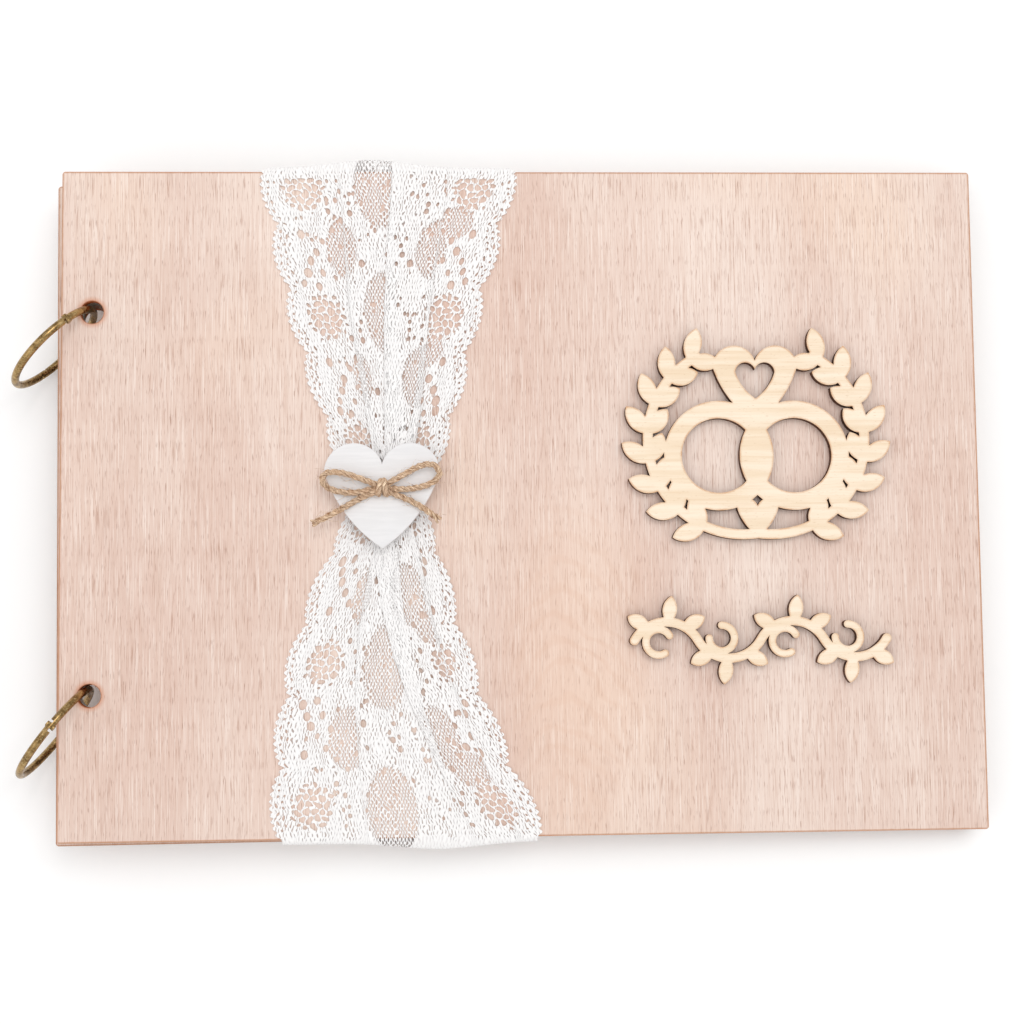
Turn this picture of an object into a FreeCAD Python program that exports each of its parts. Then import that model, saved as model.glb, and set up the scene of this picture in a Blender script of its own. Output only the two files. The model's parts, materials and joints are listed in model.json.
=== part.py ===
import FreeCAD, Part
import math
import os

from FreeCAD import Matrix, Placement, Vector

# Wedding guest book with plywood covers, loose card leaves and two hinged binder rings.
# The book is built lying flat: +X runs from the spine to the fore edge, +Y to the head,
# +Z up out of the front cover, with z = 0 at the underside of the back cover.
# At the end it is leant onto its rings, which hang lower than the back cover.

# covers
cover_length = 290.0
cover_width = 210.0
cover_thickness = 3.0
cover_corner = 1.0
hole_radius = 3.6
back_hole_radius = 4.0
hole_from_spine = 9.6
hole_from_end = 45.0
back_edge_shift = Vector(-2.4, -2.0, 0.0)
back_hole_shift = Vector(-0.8, -0.8, 0.0)
back_turn = 0.3

# leaves
leaf_count = 19
leaf_thickness = 0.30
leaf_pitch = 0.35
leaf_spine_inset = 1.0
leaf_fore_inset = 4.0
leaf_end_inset = 3.0
leaf_hole_radius = 4.2
flap_room = 0.55

block_height = 2.0 * cover_thickness + leaf_count * leaf_pitch + flap_room
front_underside = block_height - cover_thickness

# binder rings: swing is the angle of the ring's plane away from the X axis
ring_radius = 16.5
wire_radius = 1.2
lap_angle = 6.0
lap_gap = 0.03
rivet_radius = 0.55
rivet_head_radius = 0.95
rivet_head_low = 0.8
rivet_head_top = 1.4
rivet_clearance = 0.02
rings = {
    "upper": {"swing": 45.0, "centre_shift": Vector(-1.01, 1.54, 1.03), "hinge_angle": 56.0},
    "lower": {"swing": 52.0, "centre_shift": Vector(-1.27, 1.78, 1.07), "hinge_angle": 78.0},
}

# lace band round the front cover; lace_spread gives, for rows along the band, the
# distance from the tie towards the head and the reach to the spine and the fore edge
lace_thickness = 1.0
lace_wrap = 0.8
lace_flap_length = 14.0
lace_flap_thickness = 0.4
lace_tie = Vector(100.5, 110.0, 0.0)
lace_top_edge = (60.0, 144.5)
lace_bottom_edge = (67.0, 150.5)
lace_spread = (
    (-76.0, 34.0, 34.0),
    (-27.0, 25.0, 19.0),
    (-8.0, 13.0, 13.0),
    (8.0, 13.0, 13.0),
    (32.0, 26.0, 24.0),
)
bundle_size = Vector(26.0, 36.0, 3.6)
bundle_chamfer = 1.6

# heart
heart_width = 36.0
heart_height = 32.8
heart_thickness = 3.0
heart_centre = Vector(100.5, 109.2, 0.0)

# twine bow; each route is measured from the knot
twine_radius = 1.0
arc_share = 0.45
knot_rise = -0.7
knot_radius = 1.7
knot_length = 3.0
knot_rounding = 0.7
knot_shift = Vector(-1.5, -0.2, 0.8)
bow_routes = {
    "bow_left_loop": (
        (-1.6, 0.7, 0.9), (-7.2, 2.9, 1.6), (-13.4, 4.7, 2.0), (-18.0, 4.4, 1.7),
        (-18.6, 0.9, 1.1), (-14.0, -1.5, 0.5), (-7.6, -1.9, 0.3), (-1.8, -0.3, 0.4),
    ),
    "bow_right_loop": (
        (1.6, 0.9, 0.9), (6.6, 3.6, 1.8), (12.2, 6.7, 2.4), (16.6, 6.9, 2.0),
        (18.3, 3.3, 1.4), (14.6, 0.4, 0.8), (8.2, -0.9, 0.4), (1.8, -0.5, 0.4),
    ),
    "bow_left_tail": (
        (-1.5, -1.2, 0.4), (-6.6, -3.3, 0.25), (-12.2, -6.6, 0.2), (-17.2, -9.3, 0.1),
        (-21.6, -11.1, -0.3),
    ),
    "bow_right_tail": (
        (1.5, -1.3, 0.4), (6.2, -3.1, 0.25), (11.2, -5.6, 0.2), (15.0, -8.2, 0.1),
        (17.8, -10.4, 0.0),
    ),
}

# laser-cut ornaments
ornament_thickness = 3.0
wreath_middle = Vector(218.5, 123.2, 0.0)
hoop_spread = 12.0
hoop_drop = 5.0
hoop_radius = 14.6
hoop_width = 5.6
branch_spread = 4.5
branch_radius = 30.0
branch_width = 3.2
branch_start = -98.0
branch_end = 62.0
branch_leaf_pairs = 8
branch_leaf_start = -66.0
branch_leaf_step = 17.5
branch_leaf_width = 5.6
branch_leaves = ((-42.0, 11.0), (36.0, 10.0))
crown_heart = (27.0, 25.0)
crown_heart_opening = (12.5, 11.5)
crown_heart_rise = 20.0
base_heart = (13.0, 12.0)
base_heart_drop = 23.5

vine_start = Vector(178.8, 60.2, 0.0)
vine_bends = 4
vine_bend_radius = 11.5
vine_half_sweep = 60.0
vine_stem_width = 3.0
vine_leaf_width = 4.6
vine_leaves = ((-62.0, 7.8), (8.0, 8.8), (64.0, 7.8))
curl_shift = Vector(-2.4, 5.2, 0.0)
curl_radius = 4.0
curl_width = 2.4
curl_sweep = (-120.0, 150.0)


def moved(shape, offset):
    copy = shape.copy()
    copy.translate(offset)
    return copy


def rounded_plate(length, width, thickness, corner, corner_point):
    """Flat plate with small rounded corners, its low corner at corner_point."""
    plate = Part.makeBox(length, width, thickness, corner_point)
    upright = [e for e in plate.Edges if abs(e.tangentAt(e.FirstParameter).z) > 0.99]
    return plate.makeFillet(corner, upright)


def hole_places():
    return [
        Vector(hole_from_spine, hole_from_end, 0.0),
        Vector(hole_from_spine, cover_width - hole_from_end, 0.0),
    ]


def drilled(plate, radius, shift=Vector()):
    bottom = plate.BoundBox.ZMin - 1.0
    height = plate.BoundBox.ZLength + 2.0
    for place in hole_places():
        drill = Part.makeCylinder(radius, height, Vector(place.x, place.y, bottom) + shift)
        plate = plate.cut(drill)
    return plate


def make_covers():
    front = rounded_plate(
        cover_length, cover_width, cover_thickness, cover_corner,
        Vector(0.0, 0.0, front_underside),
    )
    back = rounded_plate(
        cover_length, cover_width, cover_thickness, cover_corner, back_edge_shift,
    )
    back.rotate(back_edge_shift, Vector(0.0, 0.0, 1.0), back_turn)
    return {
        "front_cover": drilled(front, hole_radius),
        "back_cover": drilled(back, back_hole_radius, back_hole_shift),
    }


def make_leaves():
    leaves = {}
    length = cover_length - leaf_spine_inset - leaf_fore_inset
    width = cover_width - 2.0 * leaf_end_inset
    for number in range(1, leaf_count + 1):
        height = cover_thickness + (number - 1) * leaf_pitch
        height += 0.5 * (leaf_pitch - leaf_thickness)
        corner = Vector(leaf_spine_inset, leaf_end_inset, height)
        sheet = Part.makeBox(length, width, leaf_thickness, corner)
        leaves[f"leaf_{number:02d}"] = drilled(sheet, leaf_hole_radius)
    return leaves


def ring_sector(start, end):
    """Part of the ring's wire between two angles, lying in the XY plane."""
    centre = Vector(ring_radius, 0.0, 0.0)
    circle = Part.Face(Part.Wire(Part.makeCircle(wire_radius, centre, Vector(0.0, 1.0, 0.0))))
    circle.rotate(Vector(), Vector(0.0, 0.0, 1.0), start)
    return circle.revolve(Vector(), Vector(0.0, 0.0, 1.0), end - start)


def lap_block(angle, side):
    """Block that takes away one half of the wire's thickness round a lap joint."""
    reach = ring_radius * math.sin(math.radians(lap_angle))
    depth = 2.0 * wire_radius
    low = lap_gap / 2.0 if side > 0 else -lap_gap / 2.0 - depth
    block = Part.makeBox(
        4.0 * wire_radius, 2.0 * reach, depth,
        Vector(ring_radius - 2.0 * wire_radius, -reach, low),
    )
    block.rotate(Vector(), Vector(0.0, 0.0, 1.0), angle)
    return block


def rivet_shape(angle, clearance):
    """Shank and two flat heads set across the ring's plane, grown by a clearance."""
    place = Vector(ring_radius, 0.0, 0.0)
    half = rivet_head_top + clearance
    shapes = [Part.makeCylinder(
        rivet_radius + clearance, 2.0 * half, place - Vector(0.0, 0.0, half))]
    head_height = rivet_head_top - rivet_head_low + 2.0 * clearance
    for low in (-half, rivet_head_low - clearance):
        start = place + Vector(0.0, 0.0, low)
        shapes.append(Part.makeCylinder(rivet_head_radius + clearance, head_height, start))
    rivet = shapes[0].multiFuse(shapes[1:]).removeSplitter()
    rivet.rotate(Vector(), Vector(0.0, 0.0, 1.0), angle)
    return rivet


def ring_place(name):
    """Placement of a ring: its own X points at the holes, its own Y points up."""
    ring = rings[name]
    place = hole_places()[1 if name == "upper" else 0]
    swing = math.radians(ring["swing"])
    along = Vector(math.cos(swing), math.sin(swing), 0.0)
    across = Vector(math.sin(swing), -math.cos(swing), 0.0)
    middle = Vector(place.x, place.y, block_height / 2.0)
    centre = middle - along * ring_radius + ring["centre_shift"]
    matrix = Matrix(
        along.x, 0.0, across.x, centre.x,
        along.y, 0.0, across.y, centre.y,
        0.0, 1.0, 0.0, centre.z,
        0.0, 0.0, 0.0, 1.0,
    )
    return Placement(matrix)


def make_ring(name):
    hinge = rings[name]["hinge_angle"]
    clasp = hinge + 180.0
    inner = ring_sector(clasp - lap_angle / 2.0, hinge + 360.0 + lap_angle / 2.0)
    outer = ring_sector(hinge - lap_angle / 2.0, clasp + lap_angle / 2.0)
    for angle in (hinge, clasp):
        inner = inner.cut(lap_block(angle, -1))
        outer = outer.cut(lap_block(angle, 1))
    rivet_hole = rivet_shape(hinge, rivet_clearance)
    pieces = {
        f"ring_{name}_inner_half": inner.cut(rivet_hole),
        f"ring_{name}_outer_half": outer.cut(rivet_hole),
        f"ring_{name}_rivet": rivet_shape(hinge, 0.0),
    }
    placement = ring_place(name)
    for shape in pieces.values():
        shape.Placement = placement.multiply(shape.Placement)
    return pieces


def outline_solid(points, height, low):
    wire = Part.makePolygon(points + [points[0]])
    solid = Part.Face(wire).extrude(Vector(0.0, 0.0, height))
    return moved(solid, Vector(0.0, 0.0, low))


def make_lace():
    """Lace ribbon gathered at the heart and turned round the head and tail of the cover."""
    tie = lace_tie
    left_top, right_top = lace_top_edge
    left_low, right_low = lace_bottom_edge
    fore_side = [Vector(tie.x + fore, tie.y + rise, 0.0) for rise, spine, fore in lace_spread]
    spine_side = [Vector(tie.x - spine, tie.y + rise, 0.0) for rise, spine, fore in lace_spread]
    points = [Vector(left_low, 0.0, 0.0), Vector(right_low, 0.0, 0.0)]
    points += fore_side
    points += [Vector(right_top, cover_width, 0.0), Vector(left_top, cover_width, 0.0)]
    points += reversed(spine_side)
    pieces = [outline_solid(points, lace_thickness, block_height)]
    flap_low = front_underside - lace_flap_thickness
    wrap_height = block_height + lace_thickness - flap_low
    for edge, low_y, flap_y in (
        (lace_bottom_edge, -lace_wrap, 0.0),
        (lace_top_edge, cover_width, cover_width - lace_flap_length),
    ):
        span = edge[1] - edge[0]
        pieces.append(Part.makeBox(span, lace_wrap, wrap_height, Vector(edge[0], low_y, flap_low)))
        pieces.append(Part.makeBox(
            span, lace_flap_length, lace_flap_thickness, Vector(edge[0], flap_y, flap_low)))
    bundle = Part.makeBox(
        bundle_size.x, bundle_size.y, bundle_size.z,
        Vector(tie.x - bundle_size.x / 2.0, tie.y - bundle_size.y / 2.0, block_height),
    )
    top_edges = [e for e in bundle.Edges if e.BoundBox.ZMin > block_height + bundle_chamfer]
    pieces.append(bundle.makeChamfer(bundle_chamfer, top_edges))
    return {"lace_band": pieces[0].multiFuse(pieces[1:]).removeSplitter()}


def heart_face(width, height):
    """Heart outline: two round lobes and two flat arcs that meet at the tip."""
    def point(across, up):
        return Vector(across * width, up * height, 0.0)

    tip = point(0.0, -0.60)
    cleft = point(0.0, 0.21)
    arcs = [
        Part.Arc(tip, point(0.315, -0.27), point(0.5, 0.13)),
        Part.Arc(point(0.5, 0.13), point(0.27, 0.40), cleft),
        Part.Arc(cleft, point(-0.27, 0.40), point(-0.5, 0.13)),
        Part.Arc(point(-0.5, 0.13), point(-0.315, -0.27), tip),
    ]
    return Part.Face(Part.Wire([arc.toShape() for arc in arcs]))


def flat_piece(face, place, low, thickness):
    solid = face.extrude(Vector(0.0, 0.0, thickness))
    return moved(solid, Vector(place.x, place.y, low))


def make_heart():
    low = block_height + bundle_size.z
    return {"heart": flat_piece(heart_face(heart_width, heart_height), heart_centre,
                                low, heart_thickness)}


def bend_radius(before, corner, after):
    """Largest arc that the two runs beside a point leave room for."""
    first = (corner - before).Length
    second = (after - corner).Length
    turn = (corner - before).getAngle(after - corner)
    return arc_share * min(first, second) / math.tan(turn / 2.0)


def twine_tube(name, points, radius):
    """Tube along straight runs joined by tangent arcs."""
    edges = []
    start = points[0]
    for before, corner, after in zip(points, points[1:], points[2:]):
        into = (corner - before).normalize()
        out = (after - corner).normalize()
        reach = arc_share * min((corner - before).Length, (after - corner).Length)
        arc_start = corner - into * reach
        arc_end = corner + out * reach
        bend = bend_radius(before, corner, after)
        half = into.getAngle(out) / 2.0
        inward = (out - into).normalize()
        middle = corner + inward * (bend / math.cos(half) - bend)
        edges.append(Part.LineSegment(start, arc_start).toShape())
        edges.append(Part.Arc(arc_start, middle, arc_end).toShape())
        start = arc_end
        print(name, "bend radius", round(bend, 2))
    edges.append(Part.LineSegment(start, points[-1]).toShape())
    path = Part.Wire(edges)
    direction = (points[1] - points[0]).normalize()
    circle = Part.Wire(Part.makeCircle(radius, points[0], direction))
    tube = path.makePipeShell([circle], True, False)
    share = tube.Volume / (math.pi * radius ** 2 * path.Length)
    print(name, "length", round(path.Length, 1), "volume share", round(share, 4))
    return tube


def make_bow():
    """Jute twine bow on the heart: two loops, two tails and the knot between them."""
    knot = heart_centre + Vector(0.0, knot_rise, block_height + bundle_size.z)
    knot.z += heart_thickness + twine_radius
    pieces = {}
    for name, route in bow_routes.items():
        points = [knot + Vector(*step) for step in route]
        pieces[name] = twine_tube(name, points, twine_radius)
    body = Part.makeCylinder(knot_radius, knot_length, knot + knot_shift, Vector(1.0, 0.0, 0.0))
    rims = [e for e in body.Edges if e.Closed and abs(e.BoundBox.XLength) < 0.1]
    pieces["bow_knot"] = body.makeFillet(knot_rounding, rims)
    return pieces


def arc_strip(centre, radius, start, end, width, height):
    """Curved strip with round ends, in degrees counted from +X."""
    sweep = end - start
    strip = Part.makeCylinder(radius + width / 2.0, height, centre, Vector(0.0, 0.0, 1.0), sweep)
    strip.rotate(centre, Vector(0.0, 0.0, 1.0), start)
    strip = strip.cut(Part.makeCylinder(radius - width / 2.0, height, centre))
    ends = []
    for angle in (start, end):
        turn = math.radians(angle)
        middle = centre + Vector(math.cos(turn), math.sin(turn), 0.0) * radius
        ends.append(Part.makeCylinder(width / 2.0, height, middle))
    return strip.multiFuse(ends)


def leaf_blade(root, angle, length, width, height):
    """Pointed leaf between two arcs, from its root outwards."""
    tip = Vector(length, 0.0, 0.0)
    arcs = [
        Part.Arc(Vector(), Vector(length * 0.45, width / 2.0, 0.0), tip),
        Part.Arc(tip, Vector(length * 0.45, -width / 2.0, 0.0), Vector()),
    ]
    blade = Part.Face(Part.Wire([arc.toShape() for arc in arcs]))
    solid = blade.extrude(Vector(0.0, 0.0, height))
    solid.rotate(Vector(), Vector(0.0, 0.0, 1.0), angle)
    return moved(solid, root)


def make_branch(side):
    """One leafy branch of the wreath, to the fore edge (1) or the spine (-1)."""
    height = ornament_thickness
    centre = wreath_middle + Vector(side * branch_spread, 0.0, 0.0)
    start, end = branch_start, branch_end
    if side < 0:
        start, end = 180.0 - branch_end, 180.0 - branch_start
    solids = [arc_strip(centre, branch_radius, start, end, branch_width, height)]
    for step in range(branch_leaf_pairs):
        angle = branch_leaf_start + branch_leaf_step * step
        turn = math.radians(angle)
        root = centre + Vector(side * math.cos(turn), math.sin(turn), 0.0) * branch_radius
        for lean, length in branch_leaves:
            direction = angle + 90.0 + lean
            if side < 0:
                direction = 180.0 - direction
            solids.append(leaf_blade(root, direction, length, branch_leaf_width, height))
    return solids


def make_wreath():
    """Laser-cut wreath: two linked hoops under a pierced heart, between two leafy branches."""
    height = ornament_thickness
    solids = []
    for side in (-1, 1):
        centre = wreath_middle + Vector(side * hoop_spread, -hoop_drop, 0.0)
        hoop = Part.makeCylinder(hoop_radius + hoop_width / 2.0, height, centre)
        solids.append(hoop.cut(Part.makeCylinder(hoop_radius - hoop_width / 2.0, height, centre)))
        solids += make_branch(side)
    crown = heart_face(*crown_heart).cut(heart_face(*crown_heart_opening))
    crown_place = wreath_middle + Vector(0.0, crown_heart_rise, 0.0)
    base_place = wreath_middle - Vector(0.0, base_heart_drop, 0.0)
    solids.append(flat_piece(crown, crown_place, 0.0, height))
    solids.append(flat_piece(heart_face(*base_heart), base_place, 0.0, height))
    wreath = solids[0].multiFuse(solids[1:]).removeSplitter()
    return {"wreath_ornament": moved(wreath, Vector(0.0, 0.0, block_height))}


def make_vine():
    """Laser-cut vine scroll: a waving stem with curls in its hollows and leaves on its crests."""
    height = ornament_thickness
    half_sweep = math.radians(vine_half_sweep)
    chord = 2.0 * vine_bend_radius * math.sin(half_sweep)
    drop = vine_bend_radius * math.cos(half_sweep)
    solids = []
    for step in range(vine_bends):
        side = 1 if step % 2 == 0 else -1
        centre = vine_start + Vector(chord * (step + 0.5), -side * drop, 0.0)
        crest = side * 90.0
        solids.append(arc_strip(centre, vine_bend_radius, crest - vine_half_sweep,
                                crest + vine_half_sweep, vine_stem_width, height))
        curl = centre + Vector(curl_shift.x, side * curl_shift.y, 0.0)
        curl_middle = 150.0 if side > 0 else -60.0
        solids.append(arc_strip(curl, curl_radius, curl_middle + curl_sweep[0],
                                curl_middle + curl_sweep[1], curl_width, height))
        for lean, length in vine_leaves:
            turn = math.radians(crest - lean * 0.45)
            root = centre + Vector(math.cos(turn), math.sin(turn), 0.0) * (vine_bend_radius - 0.5)
            solids.append(leaf_blade(root, crest - lean, length, vine_leaf_width, height))
    vine = solids[0].multiFuse(solids[1:]).removeSplitter()
    return {"vine_ornament": moved(vine, Vector(0.0, 0.0, block_height))}


def resting_lean(shapes):
    """Angle about Y that brings the fore edge of the back cover down to the rings' height."""
    lowest_ring = min(s.BoundBox.ZMin for n, s in shapes.items() if n.startswith("ring"))
    ring_x = ring_place("upper").Base.x
    fore_edge = shapes["back_cover"].BoundBox.XMax
    return math.degrees(math.atan2(-lowest_ring, fore_edge - ring_x))


def main():
    shapes = {}
    shapes.update(make_covers())
    shapes.update(make_leaves())
    for name in rings:
        shapes.update(make_ring(name))
    shapes.update(make_lace())
    shapes.update(make_heart())
    shapes.update(make_bow())
    shapes.update(make_wreath())
    shapes.update(make_vine())

    lean = resting_lean(shapes)
    whole = Part.makeCompound(list(shapes.values()))
    whole.rotate(Vector(), Vector(0.0, 1.0, 0.0), lean)
    box = whole.BoundBox
    offset = Vector(-box.Center.x, -box.Center.y, -box.ZMin)
    print("lean", round(lean, 4), "offset", [round(v, 4) for v in offset])
    print("size", round(box.XLength, 2), round(box.YLength, 2), round(box.ZLength, 2))

    os.makedirs("parts", exist_ok=True)
    for name, shape in shapes.items():
        shape.rotate(Vector(), Vector(0.0, 1.0, 0.0), lean)
        shape.translate(offset)
        if not shape.isValid() or len(shape.Solids) != 1:
            print("check", name, shape.isValid(), len(shape.Solids))
        shape.exportStep(f"parts/{name}.step")


main()
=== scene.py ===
import json
import math
import random

import bmesh
import bpy
import numpy as np
from mathutils import Matrix, Vector


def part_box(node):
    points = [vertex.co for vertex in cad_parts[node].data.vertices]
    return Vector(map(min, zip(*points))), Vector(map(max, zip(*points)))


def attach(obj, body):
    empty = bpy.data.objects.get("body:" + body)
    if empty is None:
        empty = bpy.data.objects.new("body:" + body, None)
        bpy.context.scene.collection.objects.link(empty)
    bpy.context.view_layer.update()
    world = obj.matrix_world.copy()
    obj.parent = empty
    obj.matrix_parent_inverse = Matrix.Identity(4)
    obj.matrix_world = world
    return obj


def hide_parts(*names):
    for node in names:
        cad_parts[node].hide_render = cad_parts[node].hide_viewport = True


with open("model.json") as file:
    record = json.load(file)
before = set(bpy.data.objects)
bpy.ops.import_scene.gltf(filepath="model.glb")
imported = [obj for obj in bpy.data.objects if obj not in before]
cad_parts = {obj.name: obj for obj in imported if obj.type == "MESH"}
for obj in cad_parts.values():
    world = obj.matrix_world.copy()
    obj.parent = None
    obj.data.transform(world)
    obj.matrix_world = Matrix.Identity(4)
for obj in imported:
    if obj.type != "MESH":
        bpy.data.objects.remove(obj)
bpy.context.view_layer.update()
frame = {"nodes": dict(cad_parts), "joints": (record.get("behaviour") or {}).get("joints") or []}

# Places on the book are in millimetres in the front cover's own frame: x from the spine,
# y from the tail, z up from the cover's outer face. The book leans on its rings, so that
# frame is turned about Y.
MM = 0.001
COVER_LENGTH = 290.0
COVER_WIDTH = 210.0
COVER_THICKNESS = 3.0
RING_HOLES = ((9.6, 45.0), (9.6, 165.0))
HOLE_RADIUS = 3.6


def cover_frame():
    """Matrix from the front cover's millimetres to the row frame in metres."""
    swing = next(j for j in frame["joints"] if j["name"] == "ring_upper_swing")
    up = Vector(swing["axis"])
    lean = math.atan2(up.x, up.z)
    low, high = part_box("front_cover")
    corner = Vector((low.x + COVER_THICKNESS * MM * math.sin(lean), low.y, high.z))
    turn = Matrix.Rotation(lean, 4, "Y")
    return Matrix.Translation(corner) @ turn @ Matrix.Scale(MM, 4), corner, lean


TO_ROW, COVER_CORNER, LEAN = cover_frame()


def on_cover(x, y, z=0.0):
    return TO_ROW @ Vector((x, y, z))


def linked(name, data):
    """A new object with this data, in the scene."""
    obj = bpy.data.objects.new(name, data)
    bpy.context.scene.collection.objects.link(obj)
    return obj


# ---- camera

def make_camera():
    """Camera above the book, a little towards the tail, looking almost straight down."""
    data = bpy.data.cameras.new("camera")
    data.sensor_width = 36.0
    data.lens = 59.765625
    data.clip_start = 0.01
    camera = linked("camera", data)
    eye = on_cover(117.7, 60.5, 533.3)
    view = Vector((0.0438, 0.0760, -1.0))
    roll = math.radians(-0.433)
    turn = Matrix.Rotation(LEAN, 3, "Y")
    forward = (turn @ view).normalized()
    right = turn @ Vector((math.cos(roll), math.sin(roll), 0.0))
    right = (right - forward * right.dot(forward)).normalized()
    upward = right.cross(forward)
    basis = Matrix((right, upward, -forward)).transposed().to_4x4()
    camera.matrix_world = Matrix.Translation(eye) @ basis
    bpy.context.scene.camera = camera


make_camera()


# ---- node tree helpers

class Wiring:
    """Short calls that add and join the nodes of one tree."""

    tree = None

    def node(self, kind, inputs=None, **settings):
        made = self.tree.nodes.new(kind)
        for key, value in settings.items():
            setattr(made, key, value)
        for key, value in (inputs or {}).items():
            self.put(value, made.inputs[key])
        return made

    def put(self, value, socket):
        """Joins a node or socket to the socket, or sets the socket's value."""
        if isinstance(value, bpy.types.NodeSocket):
            self.tree.links.new(value, socket)
        elif isinstance(value, bpy.types.Node):
            self.tree.links.new(value.outputs[0], socket)
        else:
            socket.default_value = value

    def math(self, operation, first, second=0.0):
        return self.node("ShaderNodeMath", {0: first, 1: second}, operation=operation)

    def vector(self, operation, first, second=(0.0, 0.0, 0.0)):
        return self.node("ShaderNodeVectorMath", {0: first, 1: second}, operation=operation)

    def times(self, first, second):
        return self.math("MULTIPLY", first, second)

    def axes(self, place):
        """The place's x, y and z."""
        return tuple(self.node("ShaderNodeSeparateXYZ", {"Vector": place}).outputs)

    def scaled(self, vector, share):
        return self.node("ShaderNodeVectorMath", {0: vector, "Scale": share}, operation="SCALE")


class Finish(Wiring):
    """A material's node tree."""

    def __init__(self, name):
        self.material = bpy.data.materials.new(name)
        self.material.use_nodes = True
        self.tree = self.material.node_tree
        self.shader = self.tree.nodes["Principled BSDF"]

    def set(self, **inputs):
        """Sets the shader's inputs, with _ for each space in an input's name."""
        for key, value in inputs.items():
            self.put(value, self.shader.inputs[key.replace("_", " ")])

    def range(self, value, low, high, to_low=0.0, to_high=1.0):
        return self.node("ShaderNodeMapRange", {
            "Value": value, "From Min": low, "From Max": high,
            "To Min": to_low, "To Max": to_high}, interpolation_type="SMOOTHSTEP")

    def grain(self, place, x, y, z, detail=2.0, roughness=0.5):
        """Noise with its own fineness along each axis, in waves per unit of the place."""
        return self.node("ShaderNodeTexNoise", {
            "Vector": self.vector("MULTIPLY", place, (x, y, z)), "Scale": 1.0,
            "Detail": detail, "Roughness": roughness})

    def mix(self, factor, first, second):
        mixer = self.node("ShaderNodeMix", data_type="RGBA")
        self.put(factor, mixer.inputs[0])
        self.put(first, mixer.inputs[6])
        self.put(second, mixer.inputs[7])
        return mixer.outputs[2]

    def tone(self, base, field, low, high, share, colour):
        """Lays the colour's share over the base as the field goes from low to high."""
        return self.mix(self.range(field, low, high, 0.0, share), base, colour)

    def bump(self, height, strength, distance):
        return self.node("ShaderNodeBump", {
            "Height": height, "Strength": strength, "Distance": distance})

    def cover_place(self, x=0.0, y=0.0, z=0.0, turn=0.0):
        """Object coordinates as millimetres in the cover's frame."""
        coordinates = self.node("ShaderNodeTexCoord")
        corner = on_cover(x, y, z)
        return self.node("ShaderNodeMapping", {
            "Vector": coordinates.outputs["Object"],
            "Location": corner,
            "Rotation": (0.0, LEAN, turn),
            "Scale": (MM, MM, MM)}, vector_type="TEXTURE")


class Growth(Wiring):
    """A Geometry Nodes tree with named sizes that grows pieces along routes."""

    def __init__(self, name, **sizes):
        self.tree = bpy.data.node_groups.new(name, "GeometryNodeTree")
        panel = self.tree.interface
        panel.new_socket("Geometry", in_out="INPUT", socket_type="NodeSocketGeometry")
        panel.new_socket("Geometry", in_out="OUTPUT", socket_type="NodeSocketGeometry")
        for label, value in sizes.items():
            panel.new_socket(label, in_out="INPUT",
                             socket_type="NodeSocketFloat").default_value = value
        panel.new_socket("Material", in_out="INPUT", socket_type="NodeSocketMaterial")
        self.inputs = self.node("NodeGroupInput").outputs

    def wave(self, strength, along, rate, start):
        """strength times the sine of rate times along plus start."""
        angle = self.math("ADD", self.times(along, rate), start)
        return self.times(self.math("SINE", angle), strength)

    def marked(self, geometry, u, v):
        """The geometry with its own UV map for the twine's finish."""
        place = self.node("ShaderNodeCombineXYZ", {"X": u, "Y": v})
        return self.node("GeometryNodeStoreNamedAttribute", {
            "Geometry": geometry, "Name": "ply", "Value": place},
            data_type="FLOAT2", domain="CORNER")

    def end(self, geometry):
        """Ends the tree with one smooth mesh in the named material."""
        real = self.node("GeometryNodeRealizeInstances", {"Geometry": geometry})
        smooth = self.node("GeometryNodeSetShadeSmooth", {"Geometry": real})
        dressed = self.node("GeometryNodeSetMaterial", {
            "Geometry": smooth, "Material": self.inputs["Material"]})
        self.node("NodeGroupOutput", {"Geometry": dressed})

    def grow(self, name, routes, **sizes):
        """A plain mesh that the tree grows along the routes."""
        places, edges = [], []
        for route in routes:
            first = len(places)
            places.extend(tuple(place) for place in route)
            edges.extend((k, k + 1) for k in range(first, len(places) - 1))
        line = bpy.data.meshes.new(f"{name}_line")
        line.from_pydata(places, edges, [])
        obj = linked(name, line)
        growth = obj.modifiers.new("growth", "NODES")
        growth.node_group = self.tree
        for socket in self.tree.interface.items_tree:
            if socket.in_out == "INPUT" and socket.name in sizes:
                growth[socket.identifier] = sizes[socket.name]
        graph = bpy.context.evaluated_depsgraph_get()
        grown = bpy.data.meshes.new_from_object(obj.evaluated_get(graph))
        obj.modifiers.clear()
        obj.data = grown
        bpy.data.meshes.remove(line)
        turn_outwards(obj)
        return obj


def rgb(red, green, blue):
    """Colour from 0 to 255 display values to linear light."""
    def linear(value):
        share = value / 255.0
        return share / 12.92 if share <= 0.04045 else ((share + 0.055) / 1.055) ** 2.4
    return (linear(red), linear(green), linear(blue), 1.0)


CHAR = rgb(96, 58, 34)
SCORCH = rgb(182, 122, 80)
LAYER_PAIR = 1.0  # one light and one dark layer of the ply, in millimetres


# ---- plywood

def edge_depth(finish, place):
    """Distance in millimetres inwards from the board's nearest edge."""
    x, y, _ = finish.axes(place)
    across = finish.math("MINIMUM", x, finish.math("SUBTRACT", COVER_LENGTH, x))
    along = finish.math("MINIMUM", y, finish.math("SUBTRACT", COVER_WIDTH, y))
    return finish.math("MINIMUM", across, along)


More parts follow.
